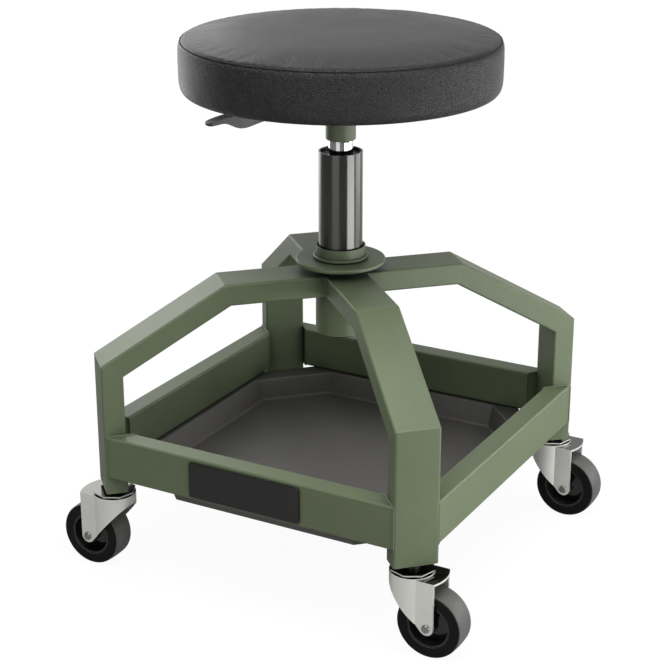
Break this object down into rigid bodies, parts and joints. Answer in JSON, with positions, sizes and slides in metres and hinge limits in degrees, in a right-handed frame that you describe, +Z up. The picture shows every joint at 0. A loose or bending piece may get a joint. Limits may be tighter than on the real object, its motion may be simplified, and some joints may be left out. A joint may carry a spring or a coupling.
{
  "type": "workshop stool",
  "caption": "Height-adjustable rolling workshop stool with a round padded seat, a gas lift, a bent-arm tube frame, a parts tray and swivel casters.",
  "frame": {"origin": "on the floor under the seat column", "axes": "+Z up along the column; -Y faces the rail that carries the nameplate; +X is to its right seen from the front"},
  "size_m": [0.5108, 0.4366, 0.615],
  "materials": {
    "frame_paint": "matte olive powder coat with fine orange peel",
    "tray_plastic": "moulded, fine texture",
    "plate_black": "satin black",
    "zinc_steel": "zinc plated",
    "fork_chrome": "bright plated pressing",
    "bearing_steel": "ground",
    "lift_black": "gloss black",
    "sleeve_plastic": "moulded",
    "spindle_chrome": "polished",
    "bump_rubber": "matte",
    "seat_vinyl": "fine grained vinyl",
    "foam": "open cell foam",
    "plywood": "raw plywood",
    "mechanism_black": "satin black",
    "grip_plastic": "satin moulded grip",
    "wheel_plastic": "gloss black moulding",
    "tyre_rubber": "dark grey rubber"
  },
  "bodies": {
    "frame": {"hub_tube": "frame_paint", "flange_plate": "frame_paint", "top_bar_front_left": "frame_paint", "top_bar_front_right": "frame_paint", "top_bar_back_right": "frame_paint", "top_bar_back_left": "frame_paint", "brace_front_left": "frame_paint", "brace_front_right": "frame_paint", "brace_back_right": "frame_paint", "brace_back_left": "frame_paint", "post_front_left": "frame_paint", "post_front_right": "frame_paint", "post_back_right": "frame_paint", "post_back_left": "frame_paint", "rail_front": "frame_paint", "rail_right": "frame_paint", "rail_back": "frame_paint", "rail_left": "frame_paint", "tray": "tray_plastic", "tray_screws": "zinc_steel", "nameplate": "plate_black", "caster_sockets": "zinc_steel", "caster_stems": "zinc_steel", "raceway_caps": "fork_chrome", "swivel_balls": "bearing_steel", "lift_tube": "lift_black", "guide_sleeve": "sleeve_plastic", "thrust_bearing": "bearing_steel"},
    "lift_rod": {"piston_rod": "spindle_chrome", "piston": "sleeve_plastic", "retaining_clip": "bearing_steel", "bump_stop": "bump_rubber"},
    "seat": {"spindle": "spindle_chrome", "seat_cover": "seat_vinyl", "seat_foam": "foam", "seat_board": "plywood", "seat_plate": "mechanism_black", "plate_screws": "zinc_steel", "seat_socket": "frame_paint", "lever_bracket": "mechanism_black", "lever_pin": "zinc_steel"},
    "lever": {"lever": "mechanism_black", "lever_grip": "grip_plastic"},
    "button": {"release_button": "zinc_steel"},
    "swivel_front_left": {"fork_front_left": "fork_chrome", "axle_front_left": "zinc_steel"},
    "wheel_front_left": {"wheel_hub_front_left": "wheel_plastic", "tyre_front_left": "tyre_rubber"},
    "swivel_front_right": {"fork_front_right": "fork_chrome", "axle_front_right": "zinc_steel"},
    "wheel_front_right": {"wheel_hub_front_right": "wheel_plastic", "tyre_front_right": "tyre_rubber"},
    "swivel_back_right": {"fork_back_right": "fork_chrome", "axle_back_right": "zinc_steel"},
    "wheel_back_right": {"wheel_hub_back_right": "wheel_plastic", "tyre_back_right": "tyre_rubber"},
    "swivel_back_left": {"fork_back_left": "fork_chrome", "axle_back_left": "zinc_steel"},
    "wheel_back_left": {"wheel_hub_back_left": "wheel_plastic", "tyre_back_left": "tyre_rubber"}
  },
  "joints": [
    {"name": "seat_swivel", "type": "hinge", "parent": "frame", "child": "lift_rod", "pos_m": [0, 0, 0.264], "axis": [0, 0, 1], "continuous": true},
    {"name": "seat_lift", "type": "slide", "parent": "lift_rod", "child": "seat", "axis": [0, 0, 1], "range_m": [0, 0.12]},
    {"name": "lever_tilt", "type": "hinge", "parent": "seat", "child": "lever", "pos_m": [-0.01163, -0.02099, 0.5365], "axis": [-0.8746, 0.4848, 0], "range_deg": [0, 4.5], "stiffness_Nm_per_rad": 0.6, "springref_deg": -11.46},
    {"name": "button_press", "type": "slide", "parent": "seat", "child": "button", "axis": [0, 0, -1], "range_m": [0, 0.0019]},
    {"name": "caster_swivel_front_left", "type": "hinge", "parent": "frame", "child": "swivel_front_left", "pos_m": [-0.19141, -0.19141, 0.0915], "axis": [0, 0, 1], "continuous": true},
    {"name": "wheel_spin_front_left", "type": "hinge", "parent": "swivel_front_left", "child": "wheel_front_left", "pos_m": [-0.21791, -0.19141, 0.0375], "axis": [0, 1, 0], "continuous": true},
    {"name": "caster_swivel_front_right", "type": "hinge", "parent": "frame", "child": "swivel_front_right", "pos_m": [0.19141, -0.19141, 0.0915], "axis": [0, 0, 1], "continuous": true},
    {"name": "wheel_spin_front_right", "type": "hinge", "parent": "swivel_front_right", "child": "wheel_front_right", "pos_m": [0.21791, -0.19141, 0.0375], "axis": [0, 1, 0], "continuous": true},
    {"name": "caster_swivel_back_right", "type": "hinge", "parent": "frame", "child": "swivel_back_right", "pos_m": [0.19141, 0.19141, 0.0915], "axis": [0, 0, 1], "continuous": true},
    {"name": "wheel_spin_back_right", "type": "hinge", "parent": "swivel_back_right", "child": "wheel_back_right", "pos_m": [0.21791, 0.19141, 0.0375], "axis": [0, 1, 0], "continuous": true},
    {"name": "caster_swivel_back_left", "type": "hinge", "parent": "frame", "child": "swivel_back_left", "pos_m": [-0.19141, 0.19141, 0.0915], "axis": [0, 0, 1], "continuous": true},
    {"name": "wheel_spin_back_left", "type": "hinge", "parent": "swivel_back_left", "child": "wheel_back_left", "pos_m": [-0.21791, 0.19141, 0.0375], "axis": [0, 1, 0], "continuous": true}
  ],
  "couplings": [
    {"joint": "button_press", "follows": "lever_tilt", "m_per_rad": 0.024}
  ]
}
